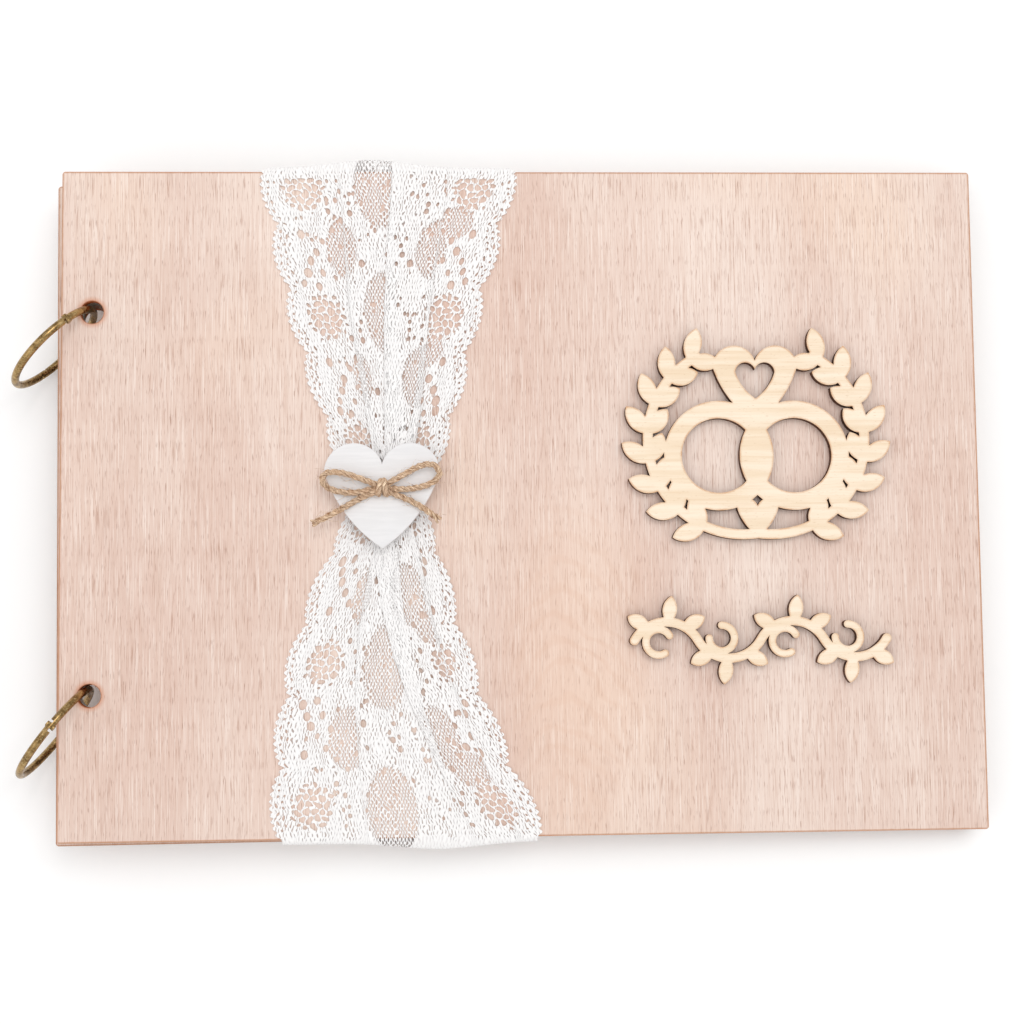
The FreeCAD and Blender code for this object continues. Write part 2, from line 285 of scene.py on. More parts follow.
def hole_depth(finish, place, radius, shift):
    """Distance in millimetres outwards from the nearest ring hole's wall."""
    nearest = None
    for x, y in RING_HOLES:
        offset = finish.vector("SUBTRACT", place, (x + shift[0], y + shift[1], 0.0))
        flat = finish.vector("MULTIPLY", offset, (1.0, 1.0, 0.0))
        reach = finish.vector("LENGTH", flat)
        reach = finish.math("SUBTRACT", reach.outputs["Value"], radius)
        nearest = reach if nearest is None else finish.math("MINIMUM", nearest, reach)
    return nearest


def wall_mask(finish):
    """1 on the board's cut walls and 0 on its faces."""
    wall_lift, face_lift = 0.35, 0.8
    geometry = finish.node("ShaderNodeNewGeometry")
    lift = finish.vector("DOT_PRODUCT", geometry.outputs["Normal"],
                         (math.sin(LEAN), 0.0, math.cos(LEAN)))
    steep = finish.math("ABSOLUTE", lift.outputs["Value"])
    return finish.range(steep, face_lift, wall_lift)


def flame_figure(finish, place, base):
    """Arched growth rings and a warmer tone where the veneer was cut flat to the rings."""
    arch_x, arch_bend, ring_gap, ring_drift = 158.0, 0.045, 8.5, 22.0
    spot_middle, spot_width, spot_length = (162.0, 55.0, 0.0), 34.0, 75.0
    x, y, _ = finish.axes(place)
    off = finish.math("SUBTRACT", x, arch_x)
    arch = finish.times(finish.times(off, off), arch_bend)
    drift = finish.grain(place, 0.05, 0.05, 0.05, 3.0)
    height = finish.math("ADD", y, arch)
    height = finish.math("ADD", height, finish.times(drift, ring_drift))
    rings = finish.math("SINE", finish.times(height, math.tau / ring_gap))
    spot = finish.vector("MULTIPLY", finish.vector("SUBTRACT", place, spot_middle),
                         (1.0 / spot_width, 1.0 / spot_length, 0.0))
    reach = finish.vector("LENGTH", spot).outputs["Value"]
    share = finish.range(reach, 1.0, 0.15)
    base = finish.mix(finish.times(share, 0.34), base, rgb(238, 204, 180))
    line = finish.times(finish.range(rings, 0.2, 1.0), share)
    return finish.mix(finish.times(line, 0.17), base, rgb(214, 172, 146))


def cover_finish(name, place_shift=(0.0, 0.0, 0.0), turn=0.0, hole_shift=(0.0, 0.0),
                 hole_radius=HOLE_RADIUS):
    """Pale pinkish veneer with pores along the grain and laser-charred edges."""
    finish = Finish(name)
    place = finish.cover_place(*place_shift, turn=turn)

    bands = finish.grain(place, 0.016, 0.0035, 0.02, 3.0, 0.55)
    base = finish.tone(rgb(221, 192, 178), bands, 0.36, 0.64, 1.0, rgb(238, 219, 207))
    warm = finish.grain(place, 0.009, 0.007, 0.02)
    base = finish.tone(base, warm, 0.50, 0.72, 0.6, rgb(237, 210, 190))

    streaks = finish.grain(place, 2.1, 0.020, 0.3, 4.0, 0.65)
    base = finish.tone(base, streaks, 0.44, 0.66, 0.55, rgb(214, 184, 168))
    lights = finish.grain(place, 3.1, 0.045, 0.3, 3.0, 0.6)
    base = finish.tone(base, lights, 0.48, 0.68, 0.66, rgb(246, 231, 221))

    sway = finish.grain(place, 0.02, 0.02, 0.02)
    grained = finish.vector("ADD", place, finish.vector("MULTIPLY", sway, (3.0, 0.0, 0.0)))
    pores = finish.range(finish.grain(grained, 3.8, 0.095, 1.2), 0.56, 0.68)
    where = finish.grain(place, 0.10, 0.03, 0.05)
    pores = finish.times(pores, finish.range(where, 0.34, 0.62, 0.25, 0.75))
    base = finish.mix(finish.times(pores, 0.90), base, rgb(180, 138, 118))
    ticks = finish.grain(grained, 4.6, 0.24, 1.2, 1.0)
    base = finish.tone(base, ticks, 0.62, 0.73, 0.6, rgb(152, 106, 86))

    base = flame_figure(finish, place, base)

    rim = edge_depth(finish, place)
    wobble = finish.grain(place, 0.35, 0.35, 0.35)
    rim = finish.math("ADD", rim, finish.times(wobble, -0.3))
    base = finish.tone(base, rim, 0.55, 0.0, 0.75, SCORCH)
    hole = hole_depth(finish, place, hole_radius, hole_shift)
    base = finish.tone(base, hole, 1.9, 0.0, 0.60, rgb(206, 138, 98))
    base = finish.tone(base, hole, 0.40, 0.0, 0.8, rgb(150, 84, 46))

    _, _, height = finish.axes(place)
    layers = finish.math("SINE", finish.times(height, math.tau / LAYER_PAIR))
    smoke = finish.grain(place, 0.5, 0.5, 1.5, 3.0)
    wall = finish.tone(rgb(132, 82, 50), layers, -0.4, 0.6, 0.7, rgb(186, 126, 82))
    wall = finish.tone(wall, smoke, 0.42, 0.7, 0.45, CHAR)
    # The wall inside the ring holes is painted bright orange: partly the burnt wood's own reddish
    # brown, partly painted light against the shade inside the hole.
    wall = finish.tone(wall, hole, 0.6, 0.1, 1.0, rgb(200, 116, 70))
    base = finish.mix(wall_mask(finish), base, wall)

    relief = finish.math("SUBTRACT", streaks, finish.times(pores, 0.8))
    finish.set(Base_Color=base, Roughness=0.72, Specular_IOR_Level=0.25,
               Normal=finish.bump(relief, 0.30, 0.00015))
    return finish.material


def birch_finish(name):
    """Pale birch ply cut by laser: grain along x, flecks, dark walls and toasted rims."""
    finish = Finish(name)
    place = finish.cover_place()
    bands = finish.grain(place, 0.02, 0.32, 0.1, 3.0, 0.55)
    base = finish.tone(rgb(238, 216, 188), bands, 0.34, 0.66, 1.0, rgb(247, 230, 208))
    lines = finish.grain(place, 0.05, 1.5, 0.4, 3.0, 0.55)
    base = finish.tone(base, lines, 0.48, 0.74, 0.36, rgb(222, 188, 150))
    flecks = finish.grain(place, 0.7, 3.6, 1.0)
    base = finish.tone(base, flecks, 0.64, 0.72, 0.40, rgb(186, 144, 98))

    geometry = finish.node("ShaderNodeNewGeometry")
    rounded = finish.node("ShaderNodeBevel", {"Radius": 1.3 * MM}, samples=6)
    turn = finish.vector("DOT_PRODUCT", rounded, geometry.outputs["Normal"])
    rim = finish.range(turn.outputs["Value"], 0.999, 0.90)
    heat = finish.grain(place, 0.3, 0.3, 0.3)
    rim = finish.times(rim, finish.range(heat, 0.36, 0.62, 0.45, 0.95))
    base = finish.mix(rim, base, rgb(206, 150, 102))
    smoke = finish.grain(place, 0.8, 0.8, 1.4, 3.0)
    wall = finish.tone(rgb(62, 34, 20), smoke, 0.36, 0.66, 1.0, rgb(104, 64, 40))
    base = finish.mix(wall_mask(finish), base, wall)
    finish.set(Base_Color=base, Roughness=0.68, Specular_IOR_Level=0.25,
               Normal=finish.bump(lines, 0.22, 0.00012))
    return finish.material


# ---- card, brass, paint, jute

def card_finish(name):
    """Off-white card with a faint fibre, and painted shade on its cut edges."""
    finish = Finish(name)
    place = finish.cover_place()
    fibre = finish.grain(place, 1.1, 1.1, 1.1, 4.0, 0.6)
    cloud = finish.grain(place, 0.05, 0.05, 0.05)
    base = finish.tone(rgb(232, 229, 220), fibre, 0.35, 0.65, 1.0, rgb(247, 245, 239))
    base = finish.tone(base, cloud, 0.4, 0.7, 0.3, rgb(238, 231, 214))
    # The leaves' cut edges are painted greyer, as painted shade for the narrow gaps between the
    # stacked leaves.
    painted_edge_shade = finish.times(wall_mask(finish), 0.5)
    base = finish.mix(painted_edge_shade, base, rgb(206, 200, 188))
    finish.set(Base_Color=base, Roughness=0.85, Normal=finish.bump(fibre, 0.12, 0.0001))
    return finish.material


def brass_finish(name):
    """Antique brass plating: brown, with random bright patches that are partly rubbed wear and
    partly painted highlight, and dark specks.
    """
    finish = Finish(name)
    place = finish.cover_place()
    cloud = finish.grain(place, 0.35, 0.35, 0.35, 4.0, 0.6)
    wear_and_highlight = finish.grain(place, 1.6, 1.6, 1.6, 3.0, 0.6)
    base = finish.tone(rgb(124, 98, 60), cloud, 0.36, 0.64, 1.0, rgb(174, 144, 96))
    # The bright patches are partly rubbed wear and partly painted highlight, standing in for the
    # reflections that the even light does not give.
    base = finish.tone(base, wear_and_highlight, 0.50, 0.72, 0.6, rgb(220, 196, 148))
    specks = finish.grain(place, 4.5, 4.5, 4.5)
    base = finish.tone(base, specks, 0.62, 0.76, 0.16, rgb(74, 54, 34))
    rough = finish.range(wear_and_highlight, 0.3, 0.7, 0.20, 0.36)
    finish.set(Base_Color=base, Metallic=1.0, Roughness=rough,
               Normal=finish.bump(specks, 0.10, 0.00006))
    return finish.material


def paint_finish(name):
    """Matt white paint over wood, with faint brush marks."""
    finish = Finish(name)
    place = finish.cover_place()
    brush = finish.grain(place, 0.10, 0.9, 1.0, 3.0)
    cloud = finish.grain(place, 0.09, 0.09, 0.09)
    base = finish.tone(rgb(228, 226, 226), brush, 0.35, 0.65, 1.0, rgb(233, 231, 231))
    base = finish.tone(base, cloud, 0.4, 0.7, 0.3, rgb(226, 225, 227))
    finish.set(Base_Color=base, Roughness=0.55, Specular_IOR_Level=0.35,
               Normal=finish.bump(brush, 0.03, 0.0001))
    return finish.material


def jute_finish(name):
    """Natural jute: straw to brown fibres that follow the ply."""
    finish = Finish(name)
    along = finish.node("ShaderNodeUVMap", uv_map="ply")
    fibres = finish.grain(along, 21.0, 6.6, 3.0, 3.0, 0.6)
    cloud = finish.grain(finish.cover_place(), 0.5, 0.5, 0.5, 3.0)
    base = finish.tone(rgb(126, 80, 48), fibres, 0.37, 0.63, 1.0, rgb(255, 229, 198))
    base = finish.tone(base, cloud, 0.4, 0.7, 0.22, rgb(212, 162, 118))
    finish.set(Base_Color=base, Roughness=0.8, Specular_IOR_Level=0.2,
               Normal=finish.bump(fibres, 0.5, 0.0002))
    return finish.material


# ---- lace and floor finish

UV_SPAN = 100.0


def thread_net(finish, across, along, pitch, row_gap):
    """A wave field that peaks at the eyes of a net; pitch is half the way between a row's eyes."""
    a = finish.times(across, math.pi / pitch)
    b = finish.times(along, math.pi / row_gap)
    twice = finish.math("COSINE", finish.times(a, 2.0))
    both = finish.times(finish.math("COSINE", a), finish.math("COSINE", b))
    return finish.math("ADD", twice, finish.times(both, 2.0))


def lace_finish(name):
    """White cotton lace: threads run along the ribbon, with a see-through net between the motifs."""
    finish = Finish(name)
    cloth = finish.node("ShaderNodeUVMap", uv_map="cloth")
    net, wrapped, _ = finish.axes(finish.node("ShaderNodeUVMap", uv_map="kind"))
    flat = finish.vector("MULTIPLY", cloth, (UV_SPAN, UV_SPAN, 0.0))
    u, v, _ = finish.axes(flat)
    bend = finish.grain(flat, 0.16, 0.10, 0.0, 3.0, 0.6)
    slip = finish.grain(flat, 0.5, 0.22, 0.0)
    across = finish.math("ADD", u, finish.times(bend, 5.0))
    along = finish.math("ADD", v, finish.times(slip, 4.0))
    motif = thread_net(finish, across, along, 0.52, 1.7)
    ground = thread_net(finish, across, v, 0.60, 1.04)

    patches = finish.grain(flat, 0.23, 0.12, 0.0, 3.0, 0.55)
    tightness = finish.range(patches, 0.36, 0.62, 0.8, 2.6)
    tightness = finish.math("ADD", tightness, finish.times(wrapped, 3.0))
    open_motif = finish.range(finish.math("SUBTRACT", motif, tightness), -0.5, 0.6)
    open_ground = finish.range(ground, -0.75, 0.25)
    hole = finish.node("ShaderNodeMix", data_type="FLOAT")
    finish.put(finish.range(net, 0.25, 0.55), hole.inputs[0])
    finish.put(open_motif, hole.inputs[2])
    finish.put(open_ground, hole.inputs[3])
    clear = finish.range(net, 0.25, 0.55, 0.78, 0.97)
    solid = finish.math("SUBTRACT", 1.0, finish.times(hole.outputs[0], clear))

    fibre = finish.grain(flat, 6.0, 1.2, 0.0)
    relief = finish.math("SUBTRACT", finish.times(fibre, 0.5), motif)
    # The cloth is painted greyer towards the net's eyes, as painted shade where the threads dip
    # round the holes.
    base = finish.tone(rgb(247, 245, 244), motif, -0.2, 2.4, 1.0, rgb(232, 228, 227))
    finish.set(Base_Color=base, Roughness=0.9, Specular_IOR_Level=0.1, Alpha=solid,
               Normal=finish.bump(relief, 0.35, 0.00018))
    return finish.material


def floor_finish(name):
    """White paper sweep."""
    finish = Finish(name)
    place = finish.node("ShaderNodeTexCoord").outputs["Object"]
    cloud = finish.grain(place, 3.0, 3.0, 3.0)
    base = finish.tone(rgb(252, 252, 252), cloud, 0.3, 0.7, 1.0, rgb(255, 255, 255))
    finish.set(Base_Color=base, Roughness=0.9, Specular_IOR_Level=0.0)
    return finish.material


# ---- mesh helpers

def piece_from(name, places, faces, material):
    """A smooth piece from places and faces."""
    mesh = bpy.data.meshes.new(name)
    mesh.from_pydata([tuple(place) for place in places], [],
                     [tuple(int(corner) for corner in face) for face in faces])
    mesh.materials.append(material)
    mesh.shade_smooth()
    return linked(name, mesh)


def finished_board(node, material, body, rounding):
    """A CAD board with its cut edges eased, in its place."""
    mesh = frame["nodes"][node].data.copy()
    mesh.materials.clear()
    work = bmesh.new()
    work.from_mesh(mesh)
    bmesh.ops.remove_doubles(work, verts=work.verts, dist=1e-6)
    bmesh.ops.dissolve_limit(work, angle_limit=math.radians(1.0), verts=work.verts,
                             edges=work.edges)
    sharp = [e for e in work.edges if len(e.link_faces) == 2
             and e.calc_face_angle() > math.radians(50.0)]
    bmesh.ops.bevel(work, geom=sharp, offset=rounding * MM, segments=2, profile=0.5,
                    affect="EDGES", clamp_overlap=True)
    bmesh.ops.triangulate(work, faces=work.faces)
    work.to_mesh(mesh)
    work.free()
    mesh.materials.append(material)
    mesh.shade_smooth()
    mesh.set_sharp_from_angle(angle=math.radians(38.0))
    obj = linked(f"{node}_board", mesh)
    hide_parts(node)
    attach(obj, body)


# ---- twine

# Sizes are in millimetres. The loops and tails are routes that start at the knot.
TWINE = 2.0
TWINE_STEP = 0.22 * MM
FRAY_LENGTH = 2.6
UV_LENGTH = 10.0
KNOT = Vector((100.5, 108.5, 7.6))
LEFT_LOOP = ((-1.6, 0.7, 0.9), (-7.2, 2.9, 1.6), (-13.4, 4.7, 2.0), (-18.0, 4.4, 1.7),
             (-18.6, 0.9, 1.1), (-14.0, -1.5, 0.5), (-7.6, -1.9, 0.3), (-1.8, -0.3, 0.4))
RIGHT_LOOP = ((1.6, 0.9, 0.9), (6.6, 3.6, 1.8), (12.2, 6.7, 2.4), (16.6, 6.9, 2.0),
              (18.3, 3.3, 1.4), (14.6, 0.4, 0.8), (8.2, -0.9, 0.4), (1.8, -0.5, 0.4))
LEFT_TAIL = ((-1.5, -1.2, 0.4), (-6.6, -3.3, 0.25), (-12.2, -6.6, 0.2), (-17.2, -9.3, 0.1),
             (-21.6, -11.1, -0.3))
RIGHT_TAIL = ((1.5, -1.3, 0.4), (6.2, -3.1, 0.25), (11.2, -5.6, 0.2), (15.0, -8.2, 0.1),
              (17.8, -10.4, 0.0))


def spline_route(name, points):
    """Points along a smooth spline through the route, in the row frame."""
    curve = bpy.data.curves.new(name, "CURVE")
    curve.dimensions = "3D"
    curve.resolution_u = 12
    spline = curve.splines.new("NURBS")
    spline.points.add(len(points) - 1)
    for made, place in zip(spline.points, points):
        made.co = (*place, 1.0)
    spline.order_u = 3
    spline.use_endpoint_u = True
    holder = linked(name, curve)
    graph = bpy.context.evaluated_depsgraph_get()
    mesh = bpy.data.meshes.new_from_object(holder.evaluated_get(graph))
    route = [v.co.copy() for v in mesh.vertices]
    bpy.data.objects.remove(holder)
    bpy.data.meshes.remove(mesh)
    return route


def evenly(route, step):
    """The same route with points at an even step."""
    places = np.array([tuple(p) for p in route])
    spans = np.linalg.norm(np.diff(places, axis=0), axis=1)
    along = np.concatenate([[0.0], np.cumsum(spans)])
    count = max(4, int(round(along[-1] / step)) + 1)
    wanted = np.linspace(0.0, along[-1], count)
    return np.stack([np.interp(wanted, along, places[:, k]) for k in range(3)], axis=1)


def turn_outwards(obj):
    """Turns every shell's faces outwards."""
    work = bmesh.new()
    work.from_mesh(obj.data)
    bmesh.ops.recalc_face_normals(work, faces=work.faces)
    work.to_mesh(obj.data)
    work.free()


def laid_twine():
    """Tree: three ridged plies laid round a route, opening and thinning at a cut end."""
    lay = Growth("laid_twine", Lay=7.4, Twine=TWINE, Phase=0.0, Wander=0.0, Fray=1.0)
    sizes = lay.inputs
    route = lay.node("GeometryNodeMeshToCurve", {"Mesh": sizes["Geometry"]})
    along = lay.math("DIVIDE", lay.node("GeometryNodeSplineParameter").outputs["Length"], MM)
    whole = lay.math("DIVIDE", lay.node("GeometryNodeSplineLength").outputs["Length"], MM)
    left = lay.math("DIVIDE", lay.math("SUBTRACT", whole, along), FRAY_LENGTH)
    loose = lay.math("SUBTRACT", 1.0, lay.math("MINIMUM", left, 1.0))
    kept = lay.node("GeometryNodeCaptureAttribute")
    for label, field in (("along", along), ("loose", loose)):
        kept.capture_items.new("FLOAT", label)
        lay.put(field, kept.inputs[label])
    lay.put(route, kept.inputs["Geometry"])
    along = kept.outputs["along"]
    loose = lay.times(kept.outputs["loose"], sizes["Fray"])

    ahead = lay.node("GeometryNodeInputTangent")
    side = lay.node("GeometryNodeInputNormal").outputs["Normal"]
    up = lay.vector("CROSS_PRODUCT", ahead, side)
    laid = lay.math("DIVIDE", lay.times(along, math.tau), sizes["Lay"])
    laid = lay.math("ADD", lay.math("ADD", laid, sizes["Phase"]),
                    lay.wave(0.5, along, 1.0 / 3.1, sizes["Wander"]))
    reach = lay.times(sizes["Twine"], 0.25 * MM)
    spread = lay.times(lay.times(loose, loose), 1.1)
    offset = lay.times(reach, lay.math("ADD", spread, 1.0))
    thinning = lay.math("SUBTRACT", 1.0, lay.times(loose, 0.28))

    around = 10
    index = lay.node("GeometryNodeInputIndex")
    step = lay.times(index, math.tau / around)
    round_share = lay.math("DIVIDE", index, float(around))
    circle = lay.node("GeometryNodeCurvePrimitiveCircle", {"Resolution": around, "Radius": 1.0})
    ridge = lay.scaled(lay.node("GeometryNodeInputPosition"), lay.wave(0.09, step, 4.0, 0.0))
    ridged = lay.node("GeometryNodeSetPosition", {"Geometry": circle, "Offset": ridge})
    section = lay.node("GeometryNodeCaptureAttribute")
    section.capture_items.new("FLOAT", "round")
    lay.put(ridged, section.inputs["Geometry"])
    lay.put(round_share, section.inputs["round"])

    joined = lay.node("GeometryNodeJoinGeometry")
    for ply in range(3):
        turn = lay.math("ADD", laid, math.tau * ply / 3.0)
        swell = lay.math("ADD", lay.wave(0.07, along, 1.1, 2.1 * ply),
                         lay.wave(0.05, along, 2.9, 0.0))
        size = lay.times(lay.times(reach, thinning),
                        lay.math("ADD", swell, 1.0))
        sideways = lay.scaled(side, lay.times(offset, lay.math("COSINE", turn)))
        upwards = lay.scaled(up, lay.times(offset, lay.math("SINE", turn)))
        strand = lay.node("GeometryNodeSetPosition", {
            "Geometry": kept.outputs["Geometry"],
            "Offset": lay.vector("ADD", sideways, upwards)})
        twist = lay.math("ADD", turn, lay.times(along, 1.3 / 4.0))
        strand = lay.node("GeometryNodeSetCurveTilt", {"Curve": strand, "Tilt": twist})
        strand = lay.node("GeometryNodeCurveToMesh", {
            "Curve": strand, "Profile Curve": section.outputs["Geometry"],
            "Scale": size, "Fill Caps": True})
        strand = lay.marked(strand, section.outputs["round"],
                            lay.math("DIVIDE", along, UV_LENGTH))
        lay.tree.links.new(strand.outputs[0], joined.inputs[0])
    lay.end(joined)
    return lay


def loose_hairs():
    """Tree: short tapered jute hairs that stand off the twine all round."""
    hairs = Growth("loose_hairs", Gap=0.33, Stand_off=0.75, Shortest=1.2, Longest=3.4)
    sizes = hairs.inputs

    def chance(low, high, seed, kind="FLOAT"):
        """A random value for each hair."""
        names = ("Min", "Max") if kind == "FLOAT_VECTOR" else ("Min_001", "Max_001")
        made = hairs.node("FunctionNodeRandomValue", {"Seed": seed}, data_type=kind)
        for socket in made.inputs:
            if socket.identifier in names:
                hairs.put(low if socket.identifier == names[0] else high, socket)
        return next(socket for socket in made.outputs if socket.enabled)

    route = hairs.node("GeometryNodeMeshToCurve", {"Mesh": sizes["Geometry"]})
    roots = hairs.node("GeometryNodeCurveToPoints", mode="LENGTH")
    hairs.put(route, roots.inputs["Curve"])
    hairs.put(hairs.times(sizes["Gap"], MM), roots.inputs["Length"])
    ahead = roots.outputs["Tangent"]
    away = chance((-1.0, -1.0, -0.1), (1.0, 1.0, 1.0), 6, "FLOAT_VECTOR")
    slipped = hairs.scaled(ahead, hairs.vector("DOT_PRODUCT", away, ahead).outputs["Value"])
    away = hairs.vector("NORMALIZE", hairs.vector("SUBTRACT", away, slipped))
    ahead = hairs.scaled(ahead, hairs.math("SIGN", chance(-1.0, 1.0, 7)))
    placed = hairs.node("GeometryNodeSetPosition", {
        "Geometry": roots.outputs["Points"],
        "Offset": hairs.scaled(away, hairs.times(sizes["Stand_off"], MM))})

    arc = hairs.node("GeometryNodeCurveQuadraticBezier", {
        "Resolution": 6, "Start": (0.0, 0.0, 0.0), "Middle": (0.5, 0.0, 0.5),
        "End": (1.0, 0.0, 0.65)})
    tip = hairs.node("GeometryNodeSplineParameter").outputs["Factor"]
    taper = hairs.math("SUBTRACT", 1.0, hairs.times(tip, 0.6))
    hair = hairs.node("GeometryNodeCurveToMesh", {
        "Curve": arc, "Scale": taper, "Fill Caps": True,
        "Profile Curve": hairs.node("GeometryNodeCurvePrimitiveCircle", {
            "Resolution": 3, "Radius": 0.025})})
    length = hairs.times(chance(sizes["Shortest"], sizes["Longest"], 8), MM)
    lift = hairs.times(length, chance(0.35, 1.1, 9))
    tuft = hairs.node("GeometryNodeInstanceOnPoints", {
        "Points": placed, "Instance": hair,
        "Selection": hairs.math("GREATER_THAN", chance(0.0, 1.0, 10), 0.42),
        "Rotation": hairs.node("FunctionNodeAxesToRotation", {
            "Primary Axis": ahead, "Secondary Axis": away},
            primary_axis="X", secondary_axis="Z"),
        "Scale": hairs.node("ShaderNodeCombineXYZ", {"X": length, "Y": length, "Z": lift})})
    real = hairs.node("GeometryNodeRealizeInstances", {"Geometry": tuft})
    x, y, _ = hairs.axes(hairs.scaled(hairs.node("GeometryNodeInputPosition"), 90.0))
    hairs.end(hairs.marked(real, x, y))
    return hairs


def from_knot(points):
    """Places in the row frame for millimetres from the knot."""
    return [on_cover(*(KNOT + Vector(p))) for p in points]


def wrap_route(shift, tilt, size):
    """One turn of twine round the knot."""
    corners, half_width, half_height = 14, 2.05, 1.75
    ring = []
    for k in range(corners + 1):
        angle = math.tau * k / corners
        y = half_width * size * math.cos(angle)
        z = half_height * size * math.sin(angle)
        ring.append((shift + tilt * y, y - 0.25, z + 0.75))
    return evenly(from_knot(ring), TWINE_STEP)


def make_bow():
    """Two strands of twine crossing in the knot, each a loop on one side and a tail on the other."""
    jute = jute_finish("jute_twine")
    twine = laid_twine()
    under_knot = ((0.0, -0.95, 0.1),)
    over_knot = ((0.0, -0.55, 1.3),)
    strands = []
    for name, points, nodes, phase, wander in (
            ("bow_strand_right_loop", RIGHT_LOOP + under_knot + LEFT_TAIL,
             ("bow_right_loop", "bow_left_tail"), 5.9, 3.1),
            ("bow_strand_left_loop", LEFT_LOOP + over_knot + RIGHT_TAIL,
             ("bow_left_loop", "bow_right_tail"), 1.4, 0.6)):
        path = evenly(spline_route(name, from_knot(points)), TWINE_STEP)
        strand = twine.grow(name, [path], Material=jute, Phase=phase, Wander=wander)
        strands.append((strand, path, nodes))

    knot = twine.grow("bow_knot_wraps", [wrap_route(-0.75, 0.22, 1.0),
                                         wrap_route(0.95, -0.12, 1.06)],
                      Material=jute, Phase=2.2, Fray=0.0)
    fibres = loose_hairs().grow("bow_fibres", [path for _, path, _ in strands], Material=jute)

    for piece in (knot, fibres):
        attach(piece, "front_cover")
    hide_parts("bow_knot")
    for strand, path, nodes in strands:
        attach(strand, "front_cover")
        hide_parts(*nodes)


make_bow()


# ---- covers, leaves, trim

def make_boards():
    """Covers, ornaments and heart, in the shapes and places of the CAD boards."""
    veneer = cover_finish("stained_ply_front")
    back_veneer = cover_finish("stained_ply_back", place_shift=(-2.4, -2.0, -13.2),
                               turn=math.radians(0.3), hole_shift=(1.6, 1.2), hole_radius=4.0)
    birch = birch_finish("birch_ply")
    finished_board("front_cover", veneer, "front_cover", 0.12)
    finished_board("back_cover", back_veneer, "back_cover", 0.12)
    finished_board("wreath_ornament", birch, "front_cover", 0.10)
    finished_board("vine_ornament", birch, "front_cover", 0.10)
    finished_board("heart", paint_finish("white_painted_wood"), "front_cover",
                   0.45)


def dress_nodes():
    """Leaves and rings keep the CAD meshes and get their materials."""
    card = card_finish("white_card")
    brass = brass_finish("antique_brass")
    for name, node in frame["nodes"].items():
        if name.startswith("leaf_"):
            node.data.materials.clear()
            node.data.materials.append(card)
        if name.startswith("ring_"):
            node.data.materials.clear()
            node.data.materials.append(brass)


make_boards()
dress_nodes()


# ---- lace ribbon

# On the flat ribbon u runs across from its middle line and v along from the tie to an end.
TIE_X = 101.5
TIE_Y = 110.0
RIBBON_HALF = 40.2
RIBBON_WIDTH = 84.0
SCALLOP_RISE = 3.6
PICOT_RISE = 1.15
PICOT_GAP = 2.2
EYELET_GAP = 2.4
CLOTH_STEP = 0.34
PLEAT_FADE = 16.0
WIDE_FOLD = 6.4
FINE_FOLD = 3.9
END_FLAP = 20.0
TURN_RADIUS = 1.78
BEHIND_BOARD = -3.26
NOWHERE = 1e9


def soft_step(value, low, high):
    """0 below low and 1 above high, smooth between."""
    share = np.clip((value - low) / (high - low), 0.0, 1.0)
    return share * share * (3.0 - 2.0 * share)


def lattice_distance(u, v, pitch):
    """Distance to the nearest point of a hexagonal lattice."""
    row_gap = pitch * math.sqrt(3.0) / 2.0
    nearest = np.full(u.shape, NOWHERE)
    row = np.floor(v / row_gap)
    for step in (0, 1):
        this_row = row + step
        shift = np.where(np.mod(this_row, 2.0) > 0.5, pitch / 2.0, 0.0)
        column = np.round((u - shift) / pitch)
        du = u - (column * pitch + shift)
        dv = v - this_row * row_gap
        nearest = np.minimum(nearest, np.hypot(du, dv))
    return nearest


def carve_oval(field, u, v, place, size, turn=0.0):
    """Cuts one oval hole."""
    du, dv = u - place[0], v - place[1]
    cos, sin = math.cos(turn), math.sin(turn)
    a = (du * cos + dv * sin) / size[0]
    b = (-du * sin + dv * cos) / size[1]
    reach = (np.hypot(a, b) - 1.0) * min(size)
    np.minimum(field, reach, out=field)


def carve_net(field, u, v, share, pitch, radius):
    """Cuts lattice holes where share is over 0, smaller near its border."""
    size = radius * np.sqrt(np.clip(share, 0.0, 1.0))
    reach = np.where(share > 0.02, lattice_distance(u, v, pitch) - size, NOWHERE)
    np.minimum(field, reach, out=field)


def oval_share(u, v, place, size, soft=0.25):
    """1 inside the oval and 0 outside it, sloping over the soft share of its radius."""
    reach = np.hypot((u - place[0]) / size[0], (v - place[1]) / size[1])
    return np.clip((1.0 - reach) / soft, 0.0, 1.0)


def scallop_rows(half):
    """(centre, whether it carries a flower) of each scallop along the ribbon."""
    pitch = half["pitch"]
    middle = half["cusp"] - pitch / 2.0
    first = int(math.floor(-middle / pitch)) - 1
    last = int(math.ceil((half["edge"] - middle) / pitch)) + 1
    return [(middle + number * pitch, number % 2 == 0) for number in range(first, last)]


def net_share(u, v, half):
    """1 in the see-through net grounds and 0 in the motifs."""
    share = np.zeros_like(u)
    for centre, flowered in scallop_rows(half):
        if flowered:
            share = np.maximum(share, oval_share(u, v, (-5.0, centre + 2.0), (8.5, 15.0)))
            share = np.maximum(share, oval_share(u, v, (27.0, centre - 10.0), (7.0, 6.0)))
        else:
            for side in (-1.0, 1.0):
                place = (side * 20.0, centre + 2.0)
                share = np.maximum(share, oval_share(u, v, place, (7.5, 11.0)))
    return share


